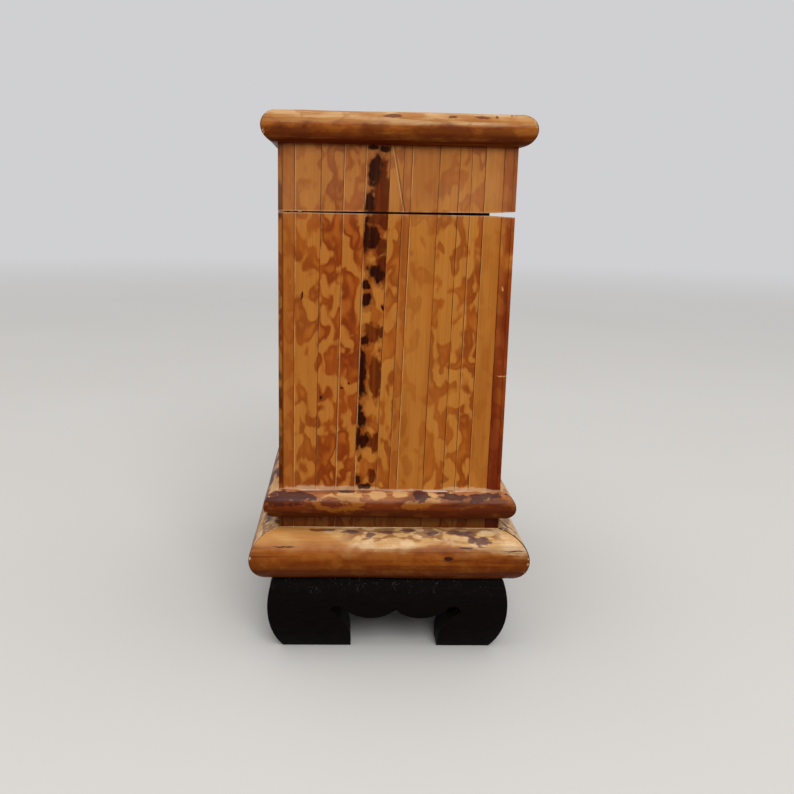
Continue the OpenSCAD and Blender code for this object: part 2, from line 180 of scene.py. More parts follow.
def new_finish(name, fixed):
    """A material, its shader and a first wire. The fixed sockets are the same all over."""
    finish = bpy.data.materials.new(name)
    finish.use_nodes = True
    shader = finish.node_tree.nodes["Principled BSDF"]
    for socket, value in fixed.items():
        shader.inputs[socket].default_value = value
    return finish, shader, Wire(finish.node_tree)


def merged_copy(node):
    bm = bmesh.new()
    bm.from_mesh(nodes[node].data)
    bmesh.ops.remove_doubles(bm, verts=bm.verts, dist=1e-6)
    bmesh.ops.dissolve_limit(bm, angle_limit=math.radians(0.4), verts=bm.verts, edges=bm.edges)
    bm.normal_update()
    return bm


def ease(bm, edges, width, segments):
    """Rounds these edges and gives back the new faces."""
    eased = bmesh.ops.bevel(
        bm,
        geom=edges,
        offset=width,
        offset_type="OFFSET",
        affect="EDGES",
        segments=segments,
        profile=0.5,
        material=-1,
        clamp_overlap=True,
    )
    return eased["faces"]


def sharp_edges(bm, degrees):
    limit = math.radians(degrees)
    return [e for e in bm.edges if len(e.link_faces) == 2 and e.calc_face_angle() > limit]


def place_piece(name, bm, finish, body, node):
    """Makes a mesh an object that rides on a body and stands in for a node's solids."""
    mesh = bpy.data.meshes.new(name)
    bm.to_mesh(mesh)
    bm.free()
    mesh.materials.append(finish)
    piece = bpy.data.objects.new(name, mesh)
    bpy.context.scene.collection.objects.link(piece)
    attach(piece, body)
    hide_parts(node)
    return piece


def even_shading(piece):
    """Smooth shading that keeps the large faces true beside the eased edges."""
    piece.data.shade_smooth()
    piece.data.set_sharp_from_angle(angle=math.radians(50))
    weighting = piece.modifiers.new("even shading", "WEIGHTED_NORMAL")
    weighting.keep_sharp = True


def black_paint_finish():
    finish, shader, start = new_finish("black_paint", {"Specular IOR Level": 0.05})
    places = start.places()
    brushed = start.cloud(start.stretched(places, "Z", 6.0), 160.0, 4.0, 0.6)
    grit = start.cloud(places, 1300.0, 2.0, 0.6)
    worn = start.cloud(places, 240.0, 3.0, 0.6)
    facing = start.node("ShaderNodeNewGeometry", {}, {}, "Normal")
    upward = start.part(facing, 2).rise(0.05, 0.7)
    edges = start.attribute("worn", "Fac")
    colour = brushed.rise(0.35, 0.7).mix(dye("030100"), dye("0a0403"))
    colour = (edges * worn.rise(0.45, 0.62) * 0.5).mix(colour, dye("241a17"))
    # Painted highlights, partly real dust: light grey flecks on upward faces and eased edges stand
    # for glints on the brushed paint.
    top_and_edges = upward.larger(edges * 0.9)
    glints_and_dust = grit.rise(0.58, 0.65) * worn.rise(0.46, 0.62) * top_and_edges
    colour = (glints_and_dust * 0.6).mix(colour, dye("7c7874"))
    start.feed(shader.inputs["Base Color"], colour)
    start.feed(shader.inputs["Roughness"], 0.36 + 0.3 * worn)
    height = brushed * 0.6 + grit * 0.5
    start.feed(shader.inputs["Normal"], start.bump(height, 0.55, 0.00025))
    return finish


TOP_ROUNDING = 0.0012
ARRIS_EASING = 0.0005
black_paint = black_paint_finish()

for side in ("front", "back", "left", "right"):
    node = "stand_" + side
    bm = merged_copy(node)
    worn_faces = bm.faces.layers.float.new("worn")
    top_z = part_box(node)[1].z
    top_edges = [
        e for e in sharp_edges(bm, 30) if all(abs(v.co.z - top_z) < 1e-5 for v in e.verts)
    ]
    outer_top = max(top_edges, key=lambda e: sum(v.co.xy.length for v in e.verts))
    rounded = ease(bm, [outer_top], TOP_ROUNDING, 4)
    rounded += ease(bm, sharp_edges(bm, 32), ARRIS_EASING, 3)
    for face in rounded:
        if face.is_valid:
            face[worn_faces] = 1.0
    even_shading(place_piece("apron_" + side, bm, black_paint, "case", node))


# Stand board, glue blocks and screws
# A black board lies inside the aprons, glue blocks fill the corners, and four steel screws go up
# into the plinth. They are seen only from below, so the solids stay and get paint and metal.


def steel_finish():
    finish, shader, start = new_finish("screw_steel", {"Metallic": 1.0})
    places = start.places()
    turned = start.cloud(places, 900.0, 3.0, 0.6)
    dull = start.cloud(places, 260.0, 2.0, 0.5)
    start.feed(shader.inputs["Base Color"], dull.mix(dye("a3a29f"), dye("7d7a75")))
    start.feed(shader.inputs["Roughness"], 0.28 + 0.25 * turned)
    return finish


def dress(finish, *names):
    for name in names:
        for slot in nodes[name].material_slots:
            slot.material = finish


screw_steel = steel_finish()
dress(black_paint, "stand_top_board", "stand_corner_blocks")
dress(screw_steel, "stand_screws", "plinth_screws")


# Plinth rods
# Split halves of a thick culm, glued flat side in around the plinth board, mitred at the corners.
# The skin is honey brown, bleached to cream on top with scorched scallops, under a coat of varnish.
# Painted shade darkens it toward the bottom, and its burns carry a painted bluish reflection in
# places.

QUARTER_TURNS = {"front": 0, "right": 1, "back": 2, "left": 3}
core_low, core_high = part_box("plinth_board")
MITRE_OFFSET = core_high.x - core_high.y
MITRE_EASING = 0.0003
SWELL_PITCH = 28
DENT_PITCH = 90
LONG_DENT_PITCH = 45
ROD_CUTS = 36


def half_rod(node, side, facets, wobble, seed):
    """Half-round rod in a node's place, a little uneven as a culm is, with eased mitre edges."""
    low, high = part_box(node)
    radius = (high.z - low.z) / 2
    end = side in ("left", "right")
    run = core_high.y - core_low.y if end else core_high.x - core_low.x
    half = core_high.x if end else core_high.y
    out = {"front": -low.y, "back": high.y, "left": -low.x, "right": high.x}[side] - half
    length = run + 4 * out
    bm = bmesh.new()
    bmesh.ops.create_cone(
        bm, cap_ends=True, segments=facets, radius1=radius, radius2=radius, depth=length
    )
    lengthways = [e for e in bm.edges if abs(e.verts[0].co.z - e.verts[1].co.z) > length / 2]
    bmesh.ops.subdivide_edges(bm, edges=lengthways, cuts=ROD_CUTS, use_grid_fill=True)
    for vert in bm.verts:
        around = vert.co.xy
        swell = noise.noise(Vector((vert.co.z * SWELL_PITCH, seed, 0.0)))
        along = vert.co.z * LONG_DENT_PITCH + seed
        dent = noise.noise(Vector((around.x * DENT_PITCH, around.y * DENT_PITCH, along)))
        around *= 1 + (swell + 0.6 * dent - 0.3) * wobble / radius
        vert.co.x = around.x
        vert.co.y = around.y
    laid_down = Matrix.Rotation(math.pi / 2, 3, "Y")
    bmesh.ops.rotate(bm, verts=bm.verts, cent=(0, 0, 0), matrix=laid_down)
    middle = Vector((0, radius - out - half, (low.z + high.z) / 2))
    bmesh.ops.translate(bm, verts=bm.verts, vec=middle)
    cuts = (((0, -half), (0, 1)), ((run / 2, -half), (1, 1)), ((-run / 2, -half), (-1, 1)))
    for through, facing in cuts:
        cut = bmesh.ops.bisect_plane(
            bm,
            geom=bm.verts[:] + bm.edges[:] + bm.faces[:],
            plane_co=(*through, 0),
            plane_no=(*facing, 0),
            clear_outer=True,
        )
        rim = [e for e in cut["geom_cut"] if isinstance(e, bmesh.types.BMEdge)]
        bmesh.ops.edgeloop_fill(bm, edges=rim)
    bmesh.ops.recalc_face_normals(bm, faces=bm.faces)
    ease(bm, sharp_edges(bm, 40), MITRE_EASING, 2)
    turn = Matrix.Rotation(QUARTER_TURNS[side] * math.pi / 2, 3, "Z")
    bmesh.ops.rotate(bm, verts=bm.verts, cent=(0, 0, 0), matrix=turn)
    return bm


def culm_places(start, along, draw, seed):
    """Object places drawn out along the culm; the seed gives each group of rods its own marks."""
    return start.stretched(start.places(), along, draw, (seed, seed * 0.7, seed * 1.3))


def height_share(start, node):
    """How high a point lies on a rod, from 0 at its lowest line to 1 at its top."""
    low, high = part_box(node)
    return (start.part(start.places(), 2) - low.z) * (1 / (high.z - low.z))


VARNISH = {"Specular IOR Level": 0.04, "Coat Roughness": 0.16, "Coat IOR": 1.45}
MITRE_DIRT = dye("35160a")
MITRE_CHIP = dye("d2ac80")


def rod_finish(name, along, node, seed, skin):
    """Varnished culm. The function skin gives its colour; fibres and mitre lines come over that."""
    finish, shader, start = new_finish(f"{name}_{along.lower()}", VARNISH)
    share = height_share(start, node)
    fibres = start.cloud(culm_places(start, along, 0.03, seed), 1500.0, 3.0, 0.6)
    soft = start.cloud(culm_places(start, along, 0.5, seed), 70.0, 2.0)
    colour = skin(start, along, share)
    colour = (fibres.rise(0.35, 0.75) * 0.25).mix(colour, dye("6a3410"))
    places = start.places()
    off_mitre = abs(abs(start.part(places, 0)) - abs(start.part(places, 1)) - MITRE_OFFSET)
    chipped = start.cloud(places, 420.0, 2.0).rise(0.6, 0.66)
    colour = ((1 - off_mitre.rise(0.0003, 0.0013)) * chipped).mix(colour, MITRE_CHIP)
    colour = (1 - off_mitre.rise(0.0001, 0.0004)).mix(colour, MITRE_DIRT)
    start.feed(shader.inputs["Base Color"], colour)
    start.feed(shader.inputs["Roughness"], 0.34 + 0.2 * soft)
    start.feed(shader.inputs["Coat Weight"], 0.04 + 0.12 * soft)
    start.feed(shader.inputs["Normal"], start.bump(fibres + 0.8 * soft, 0.3, 0.00012))
    return finish


def rod_spots(node, marks):
    """Ovals on an end rod, from mm along it, degrees above level and two half sizes in mm."""
    low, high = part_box(node)
    radius = (high.z - low.z) / 2
    spots = []
    for along, degrees, half_length, half_height in marks:
        rise = radius * math.sin(math.radians(degrees))
        inset = radius * (1 - math.cos(math.radians(degrees)))
        middle = (low.x + inset, along / 1000, low.z + radius + rise)
        spots.append((middle, (half_height / 1000, half_length / 1000, half_height / 1000)))
    return spots


def on_left_end(start):
    """1 on the left half of the box and 0 on the right."""
    return 1 - start.part(start.places(), 0).rise(-0.01, 0.01)


def fraying_of(start, along, seed):
    """A noise that breaks up the rims of marks: long waves bend them and short ones tear them."""
    bends = start.cloud(culm_places(start, along, 0.6, seed), 230.0, 2.0)
    tears = start.cloud(culm_places(start, along, 0.4, seed), 950.0, 2.0, 0.6)
    return 3.2 * (bends - 0.5) + 1.5 * (tears - 0.5)


# Dark marks on the left rod: mm along it, degrees above level, half length and half height in mm.
PLINTH_BURNS = [
    (29.0, 80, 5.0, 1.0),
    (16.0, 74, 4.0, 1.5),
    (8.5, 66, 2.2, 1.6),
    (0.5, 75, 3.0, 0.8),
    (-8.0, 80, 3.0, 0.9),
    (-18.0, 71, 2.4, 1.7),
    (-28.0, 72, 4.0, 1.2),
    (-33.5, 54, 2.4, 1.7),
    (-37.5, 48, 3.0, 1.7),
]
PLINTH_SPLITS = [
    (42.0, 32, 5.0, 0.30),
    (-50.0, 26, 5.0, 0.25),
    (-30.0, 32, 3.5, 0.30),
    (-23.5, 9, 1.8, 0.90),
]


def plinth_skin(start, along, share):
    places = culm_places(start, along, 0.62, 0.31)
    wide = start.cloud(places, 26.0, 1.0)
    ragged = start.cloud(places, 190.0, 3.0, 0.6)
    soft = start.cloud(places, 110.0, 2.0, 0.5, 0.4)
    mottles = start.cloud(places, 300.0, 3.0, 0.6, 0.3)
    # Painted shade and light: the body is darker toward the bottom of the rod and paler toward its
    # top.
    body = share.rise(0.05, 0.66).mix(dye("662904"), dye("8c4810"))
    body = (soft.rise(0.44, 0.6) * 0.55).mix(body, dye("743408"))
    body = (mottles.rise(0.5, 0.64) * 0.5).mix(body, dye("6a2c06"))
    body = ((1 - mottles.rise(0.36, 0.5)) * 0.3).mix(body, dye("a0662a"))
    drift = 0.4 * (soft - 0.5) + 0.25 * (wide - 0.5)
    # Painted light: the body turns paler toward the top of the rod.
    body = (share + drift).rise(0.56, 1.0).mix(body, dye("b88248"))
    pale_clouds = soft.rise(0.48, 0.62) * share.rise(0.5, 0.8)
    body = (pale_clouds * 0.45).mix(body, dye("c4965a"))
    cream = ragged.rise(0.36, 0.6).mix(dye("d4b288"), dye("c0945e"))
    bleaching = share + 0.35 * ragged + 0.5 * wide + 0.3 * soft
    bubbles = start.cells(start.warped(places, 300.0, 0.004), 400.0, "SMOOTH_F1")
    heated = wide.rise(0.42, 0.52) * soft.rise(0.36, 0.52)
    burns = start.cloud(places, 210.0, 2.0, 0.5, 0.5).rise(0.57, 0.62) * share.rise(0.84, 0.92)
    if along == "Y":
        here = on_left_end(start)
        fraying = fraying_of(start, along, 0.8)
        burn_spots = rod_spots("plinth_rod_left", PLINTH_BURNS)
        burns = here.between(burns, start.patches(start.places(), burn_spots, fraying, 0.25))
        uneven = start.warped(start.places(), 300.0, 0.0009)
        split_spots = rod_spots("plinth_rod_left", PLINTH_SPLITS)
        splits = here * start.patches(uneven, split_spots, 0.0, 0.2)
        across = start.part(start.places(), 1) + 0.02 * (ragged - 0.5)
        bleaching = bleaching + here * (0.06 - 0.45 * across.rise(0.006, 0.044))
        scalloped = (1 - across.rise(0.014, 0.026)) * across.rise(-0.048, -0.040)
        heated = here.between(heated, scalloped)
    colour = bleaching.rise(1.35, 1.46).mix(body, cream)
    outlines = bubbles.rise(0.36, 0.50) * heated * (share + 0.15 * ragged).rise(0.90, 0.98)
    colour = (outlines * 0.7).mix(colour, dye("744020"))
    # The burns are dark brown, with a painted bluish-purple reflection mixed in by a noise.
    burnt = soft.rise(0.42, 0.52).mix(dye("5a2c12"), dye("50363a"))
    colour = (burns * 0.85).mix(colour, burnt)
    streak = start.cloud(culm_places(start, along, 0.04, 3.7), 380.0, 3.0)
    lower = 1 - share.rise(0.6, 0.9)
    colour = (streak.rise(0.5, 0.62) * lower * 0.6).mix(colour, dye("582206"))
    colour = ((1 - streak.rise(0.38, 0.5)) * lower * 0.25).mix(colour, dye("985a20"))
    if along == "Y":
        colour = splits.mix(colour, dye("2e1206"))
    return colour


ROD_SEEDS = {"front": 0.4, "right": 1.9, "back": 3.1, "left": 4.6}


def place_rods(group, body, skin, grain_seed, facets, wobble, shape_seed):
    """Four rods around the box, with one finish for those along X and one for those along Y."""
    slot = group + "_bamboo"
    finishes = {}
    for along in "XY":
        finishes[along] = rod_finish(slot, along, group + "_rod_left", grain_seed, skin)
    for side, seed in ROD_SEEDS.items():
        node = f"{group}_rod_{side}"
        bm = half_rod(node, side, facets, wobble, seed + shape_seed)
        finish = finishes["Y" if side in ("left", "right") else "X"]
        even_shading(place_piece(f"{group}_culm_{side}", bm, finish, body, node))


place_rods("plinth", "case", plinth_skin, grain_seed=0.2, facets=64, wobble=0.0003, shape_seed=0)


# Waist rods
# Thinner half culms, glued on the strips just above the plinth and mitred at the corners.
# They were scorched hard, so dark brown blotches leave only patches of honey skin. The purple tint
# on top is a painted reflection, and painted light and shade make the skin paler on top and darker
# below.


# Marks on the left rod: mm along it, degrees above level, half length and half height in mm.
WAIST_BURNS = [
    (41.0, 46, 8.5, 3.0),
    (18.0, 76, 3.0, 1.0),
    (-11.0, 58, 3.0, 3.2),
    (-21.0, 74, 3.5, 1.8),
    (-29.0, 52, 9.0, 2.2),
    (-43.5, 57, 4.0, 2.2),
]
WAIST_HONEY = [
    (19.0, 46, 6.5, 2.6),
    (23.0, 10, 9.0, 2.2),
    (13.5, 26, 3.5, 3.0),
    (5.0, 54, 5.0, 2.2),
    (-4.5, 60, 3.0, 1.6),
    (-17.0, 40, 3.0, 3.0),
    (-11.5, 14, 7.0, 2.0),
    (-24.5, 62, 2.0, 1.8),
    (-38.5, 60, 2.0, 2.0),
]
WAIST_ISLANDS = [
    (23.5, 24, 3.5, 1.6),
    (20.0, 10, 2.5, 1.0),
    (11.0, 36, 1.5, 1.0),
]


def waist_skin(start, along, share):
    places = culm_places(start, along, 0.5, 1.37)
    blots = start.cloud(places, 120.0, 3.0, 0.55, 0.6)
    ragged = start.cloud(places, 240.0, 2.0)
    honeyed = 1 - blots.rise(0.44, 0.49)
    burns = blots.rise(0.51, 0.56)
    islands = start.cloud(places, 230.0, 2.0, 0.5, 0.4).rise(0.57, 0.61)
    if along == "Y":
        here = on_left_end(start)
        fraying = fraying_of(start, along, 1.6)
        honey_marks, burn_marks, island_marks = [
            start.patches(start.places(), rod_spots("waist_rod_left", spots), fraying, 0.2)
            for spots in (WAIST_HONEY, WAIST_BURNS, WAIST_ISLANDS)
        ]
        honeyed = here.between(honeyed, honey_marks)
        burns = here.between(burns, burn_marks)
        islands = here.between(islands, island_marks)
    # Painted light and shade: ground, honey and burns turn paler toward the top of the rod and
    # darker toward the bottom, and the burns take a painted purple reflection on top.
    upper = (share + 0.2 * ragged).rise(0.72, 1.0)
    ground = upper.mix(dye("6a2a08"), dye("a46840"))
    ground = (blots.rise(0.46, 0.58) * 0.6).mix(ground, dye("4e1e08"))
    ground = ((1 - ragged.rise(0.36, 0.5)) * 0.45).mix(ground, dye("9a5824"))
    honey = upper.mix(dye("8a4c14"), dye("c49662"))
    burnt = upper.mix(dye("421606"), dye("3e2425"))
    colour = (honeyed * (1 - islands)).mix(ground, honey)
    colour = (burns * 0.92).mix(colour, burnt)
    streak = start.cloud(culm_places(start, along, 0.05, 2.2), 420.0, 2.0)
    colour = (streak.rise(0.5, 0.62) * (1 - upper) * 0.6).mix(colour, dye("3c1503"))
    # A pale line along the top edge: dust and a painted highlight.
    dust_and_highlight = share.rise(0.984, 0.997) * ragged.rise(0.34, 0.52)
    return (dust_and_highlight * 0.8).mix(colour, dye("d8c0ac"))


place_rods("waist", "case", waist_skin, grain_seed=0.6, facets=48, wobble=0.0002, shape_seed=7)


# Plinth board and carcass boards
# Pale softwood boards, rebated at the corners and glued, make the case and the lid.
# They show at the rims and inside the lid; the grain runs along each board.


def pale_wood_finish(along):
    finish, shader, start = new_finish("pale_wood_" + along.lower(), {"Specular IOR Level": 0.3})
    places = start.stretched(start.places(), along, 0.05)
    rings = start.cloud(places, 420.0, 3.0, 0.55, 0.4)
    pores = start.cloud(places, 2600.0, 2.0, 0.6)
    colour = rings.rise(0.3, 0.52).mix(dye("d9bb8c"), dye("cba774"))
    colour = rings.rise(0.5, 0.68).mix(colour, dye("b08752"))
    colour = (pores.rise(0.55, 0.75) * 0.4).mix(colour, dye("8e6a40"))
    start.feed(shader.inputs["Base Color"], colour)
    start.feed(shader.inputs["Roughness"], 0.6 + 0.2 * pores)
    start.feed(shader.inputs["Normal"], start.bump(rings + 0.5 * pores, 0.3, 0.0001))
    return finish


pale_wood_x = pale_wood_finish("X")
pale_wood_y = pale_wood_finish("Y")
dress(pale_wood_x, "plinth_board", "case_front", "case_back", "case_floor")
dress(pale_wood_x, "lid_front", "lid_back", "lid_top_board")
dress(pale_wood_y, "case_left", "case_right", "lid_left", "lid_right")


# Bamboo strips
# Narrow strips split from culms, planed at the edges and glued upright side by side on the case
# and the lid. The skin side shows, slightly crowned. Heat has left tortoiseshell mottles on some,
# and varnish covers them all.

EDGE_DROP = 0.00012
MOST_SINK = 0.00006
MOST_ASKEW = 0.00003
SKIN_DEPTH = 0.0005
FAR_BLEND = 0.4
MARK_DEPTH = 0.01
MOST_STRIPS = 24
SCORCH_STEPS = 20
CROWN_CUTS = (0.12, 0.3, 0.5, 0.7, 0.88)
OUTWARD = {
    "front": Vector((0, -1, 0)),
    "right": Vector((1, 0, 0)),
    "back": Vector((0, 1, 0)),
    "left": Vector((-1, 0, 0)),
    "top": Vector((0, 0, 1)),
}
UPRIGHT = Vector((0, 0, 1))
LENGTHWAYS = Vector((1, 0, 0))

# Scorch marks on the left end's darkest strip: places across and up, and half sizes, in mm.
BLACK_MARKS = [
    (9.5, 203.0, 1.8, 1.0),
    (5.5, 202.5, 1.8, 1.0),
    (8.0, 197.5, 2.2, 2.5),
    (9.0, 194.0, 2.8, 4.5),
    (11.0, 182.5, 2.6, 4.5),
    (11.5, 171.0, 1.4, 7.0),
    (8.5, 170.0, 2.2, 4.5),
    (9.5, 167.5, 3.0, 2.0),
    (8.0, 157.0, 2.4, 2.6),
    (6.5, 155.0, 2.2, 2.4),
    (11.5, 152.0, 1.8, 1.8),
    (11.0, 146.0, 1.8, 3.0),
    (4.5, 143.5, 0.6, 0.9),
    (11.5, 130.5, 1.8, 2.5),
    (12.5, 117.0, 2.0, 10.0),
    (13.5, 102.5, 1.2, 3.5),
    (12.0, 98.5, 2.0, 3.2),
    (13.5, 90.5, 1.4, 4.5),
    (11.5, 90.0, 2.2, 2.8),
    (13.5, 73.5, 1.6, 2.2),
    (10.5, 71.0, 2.8, 1.2),
]
RED_MARKS = [
    (6.5, 194.0, 2.6, 6.0),
    (5.5, 185.5, 3.2, 9.0),
    (8.0, 181.0, 3.0, 4.0),
    (7.5, 177.0, 5.0, 2.4),
    (4.5, 175.5, 2.2, 3.5),
    (6.0, 166.0, 2.2, 4.0),
    (5.0, 159.0, 2.6, 7.0),
    (8.5, 133.5, 3.0, 4.4),
    (5.0, 133.5, 1.4, 2.6),
    (7.0, 116.0, 2.4, 9.5),
    (6.5, 89.0, 1.6, 4.0),
    (9.0, 90.0, 2.2, 3.0),
    (12.5, 82.5, 0.9, 1.5),
    (7.5, 75.5, 1.8, 3.0),
]

# Worm holes and chips in the left end's other strips, in the same terms.
PIT_MARKS = [
    (20.0, 111.5, 0.7, 0.5),
    (17.0, 113.5, 0.4, 0.4),
    (28.5, 107.5, 0.5, 0.8),
    (36.0, 147.5, 0.4, 1.4),
]

# Pale chips in the corner strip, in the same terms.
CHIP_MARKS = [
    (-43.0, 117.0, 1.8, 0.2),
    (-41.5, 151.5, 0.3, 0.7),
]

# How the corner strip darkens from the lid down, on its inner side and along the corner.
INNER_TONE = [
    (0.074, 0.45),
    (0.097, 0.47),
    (0.110, 0.50),
    (0.121, 0.60),
    (0.136, 0.70),
    (0.157, 0.80),
    (0.166, 0.97),
    (0.180, 0.90),
    (0.204, 0.88),
]
CORNER_TONE = [
    (0.074, 0.46),
    (0.085, 0.47),
    (0.097, 0.62),
    (0.110, 0.72),
    (0.121, 0.60),
    (0.136, 0.52),
    (0.151, 0.60),
    (0.157, 0.66),
    (0.160, 1.10),
    (0.163, 1.10),
    (0.166, 0.70),
    (0.180, 0.70),
    (0.204, 0.84),
]

# Tone scales a strip's colour, mottle is how strong its mottles are, and brown how much they cover.
# The seam at its left edge is pale above 0 and dark below. Strips of one kin were split from one
# length of culm. Scorch is how far heat went, spotted is 1 where the marks above lie, and far tone
# is the tone at the right edge, if that differs. Tones and scorch may be lists of (level, value).
FIELDS = "tone mottle brown pale_seam kin scorch spotted far_tone"
Strip = namedtuple("Strip", FIELDS, defaults=(0.0, 0.0, None))

# Left end, from the back to the front.
LEFT_STRIPS = [
    Strip(0.93, 0.30, 0.03, -0.9, 0),
    Strip(1.00, 0.72, -0.01, 0.9, 1),
    Strip(0.97, 0.95, 0.08, 0.2, 2),
    Strip(0.96, 1.00, 0.04, 1.0, 3),
    Strip(1.02, 0.70, -0.04, 1.0, 3, spotted=1.0),
    Strip(1.04, 0.70, 0.00, 0.3, 4),
    Strip(0.98, 0.35, 0.02, 0.3, 5),
    Strip(1.03, 0.30, -0.04, 1.0, 6),
    Strip(1.04, 0.68, 0.00, 0.2, 7),
    Strip(1.05, 0.70, 0.00, 0.2, 7),
    Strip(1.04, 0.82, 0.02, 0.6, 7),
    Strip(1.05, 0.15, -0.06, 0.5, 8),
    Strip(INNER_TONE, 0.40, 0.05, 0.0, 9, far_tone=CORNER_TONE),
]


def run_value(run, level):
    """A plain number, or the value at a level of (level, value) pairs joined by straight lines."""
    if isinstance(run, float):
        return run
    if level <= run[0][0]:
        return run[0][1]
    for (low, first), (high, second) in zip(run, run[1:]):
        if level <= high:
            return first + (second - first) * (level - low) / (high - low)
    return run[-1][1]


def loose_part(first):
    """All vertices that hang together with the first."""
    found = {first}
    queue = [first]
    while queue:
        for edge in queue.pop().link_edges:
            for vert in edge.verts:
                if vert not in found:
                    found.add(vert)
                    queue.append(vert)
    return found


def loose_parts(bm):
    left = set(bm.verts)
    parts = []
    for vert in list(bm.verts):
        if vert in left:
            part = loose_part(vert)
            left -= part
            parts.append(part)
    return parts


def part_geometry(first):
    verts = loose_part(first)
    edges = {e for v in verts for e in v.link_edges}
    faces = {f for v in verts for f in v.link_faces}
    return list(verts) + list(edges) + list(faces)


class StripEdge:
    """A long edge of a strip, as a straight line from its low end to its high end."""

    def __init__(self, face, along, across):
        self.low = min((v.co for v in face.verts), key=lambda co: co.dot(along)).copy()
        self.high = max((v.co for v in face.verts), key=lambda co: co.dot(along)).copy()
        self.along = along
        self.across = across

    def at(self, level):
        """Where the edge lies across the strips at this level."""
        start = self.low.dot(self.along)
        share = (level - start) / (self.high.dot(self.along) - start)
        return self.low.lerp(self.high, share).dot(self.across)


def cut_strip(bm, part, left, right, outward, along, levels):
    """Cuts a strip lengthways, so that it can be crowned, and across at the levels."""
    cuts = []
    for fraction in CROWN_CUTS:
        low = left.low.lerp(right.low, fraction)
        high = left.high.lerp(right.high, fraction)
        cuts.append((low, (high - low).cross(outward)))
    cuts += [(along * level, along) for level in levels]
    for through, facing in cuts:
        geom = part_geometry(part)
        bmesh.ops.bisect_plane(bm, geom=geom, plane_co=through, plane_no=facing, dist=1e-7)


def shape_strips(bm, outward, along, styles, spread, sawn):
    """Crowns each strip, sets it a hair deeper or askew, and writes what its finish needs."""
    across = along.cross(outward)
    marks = bm.verts.layers.float_color.new("strip")
    place = bm.verts.layers.float_vector.new("place")
    seams = bm.verts.layers.float_vector.new("seams")
    spotted = bm.verts.layers.float.new("spotted")

    def middle_across(verts):
        return sum(v.co.dot(across) for v in verts) / len(verts)

    order = sorted(loose_parts(bm), key=middle_across)
    behind = [min(part, key=lambda v: v.co.dot(outward)) for part in order]
    face_level = max(v.co.dot(outward) for v in bm.verts)
    seeds = {}
    for part, style in zip(behind, styles):
        faces = [f for f in part_geometry(part) if isinstance(f, bmesh.types.BMFace)]
        sides = [f for f in faces if abs(f.normal.dot(across)) > 0.9]
        left = StripEdge(min(sides, key=lambda f: middle_across(f.verts)), along, across)
        right = StripEdge(max(sides, key=lambda f: middle_across(f.verts)), along, across)
        runs = [run for run in (style.tone, style.far_tone, style.scorch) if isinstance(run, list)]
        levels = sorted({level for run in runs for level, _ in run})
        cut_strip(bm, part, left, right, outward, along, levels)
        seed = seeds.setdefault(style.kin, spread.random())
        sink = spread.uniform(0.0, MOST_SINK)
        askew = spread.uniform(-MOST_ASKEW, MOST_ASKEW)
        for vert in loose_part(part):
            level = vert.co.dot(along)
            where = vert.co.dot(across)
            from_left = where - left.at(level)
            from_right = right.at(level) - where
            share = 2 * from_left / (from_left + from_right) - 1
            low_end = left.low.lerp(right.low, (share + 1) / 2).dot(along)
            high_end = left.high.lerp(right.high, (share + 1) / 2).dot(along)
            from_sawn = {"low": level - low_end, "high": high_end - level, "none": 1.0}[sawn]
            tone = run_value(style.tone, level)
            if style.far_tone:
                blend = min(max((share + FAR_BLEND) / (2 * FAR_BLEND), 0.0), 1.0)
                tone += (run_value(style.far_tone, level) - tone) * blend
            vert[marks] = (seed, tone, style.mottle, run_value(style.scorch, level))
            vert[place] = (from_left, from_right, level)
            vert[seams] = (style.pale_seam, style.brown, from_sawn)
            vert[spotted] = style.spotted
            if face_level - vert.co.dot(outward) < SKIN_DEPTH:
                tilted = askew * share + abs(askew)
                vert.co -= outward * (EDGE_DROP * share * share + tilted + sink)


def face_spots(marks):
    """Ovals on the left end, from places across and up and half sizes in mm."""
    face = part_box("case_left_strips")[0].x
    spots = []
    for across, up, half_width, half_height in marks:
        middle = (face, across / 1000, up / 1000)
        spots.append((middle, (MARK_DEPTH, half_width / 1000, half_height / 1000)))
    return spots


LIGHT_SKIN = dye("b9752e")
HONEY_SKIN = dye("ac6625")
AMBER_SKIN = dye("9e581c")
BROWN_SKIN = dye("a04c10")
FADED_SKIN = dye("aa5c1d")
DARK_SKIN = dye("762a04")
CHAR = dye("240400")
RED_CHAR = dye("4e1402")
RUST = dye("6e2a08")
SEAM_PALE = dye("d69c60")
SEAM_DARK = dye("441804")
CASE_FOOT_GRIME_AND_SHADE = dye("361002")
DUST = dye("d8b48e")
FIBRE_BROWN = dye("74390d")
PAINTED_GLINT = dye("e6c49c")
DARK_PIT = dye("2a0e04")

# Heights on the walls: the foot darkened by dirt and painted shade, the waist rod's top, the saw
# cut and the dust haze on the lid.
CASE_FOOT = (0.0565, 0.0595)
WAIST_TOP = 0.0694
SAW_CUT = (0.1785, 0.1795)
DUSTY_LID = (0.172, 0.186)

# A thin sliver fills out the lid's left end. Its head and foot are given by places across and up.
SLIVER_HEAD = (0.00192, 0.2034)
SLIVER_FOOT = (-0.00258, 0.1795)


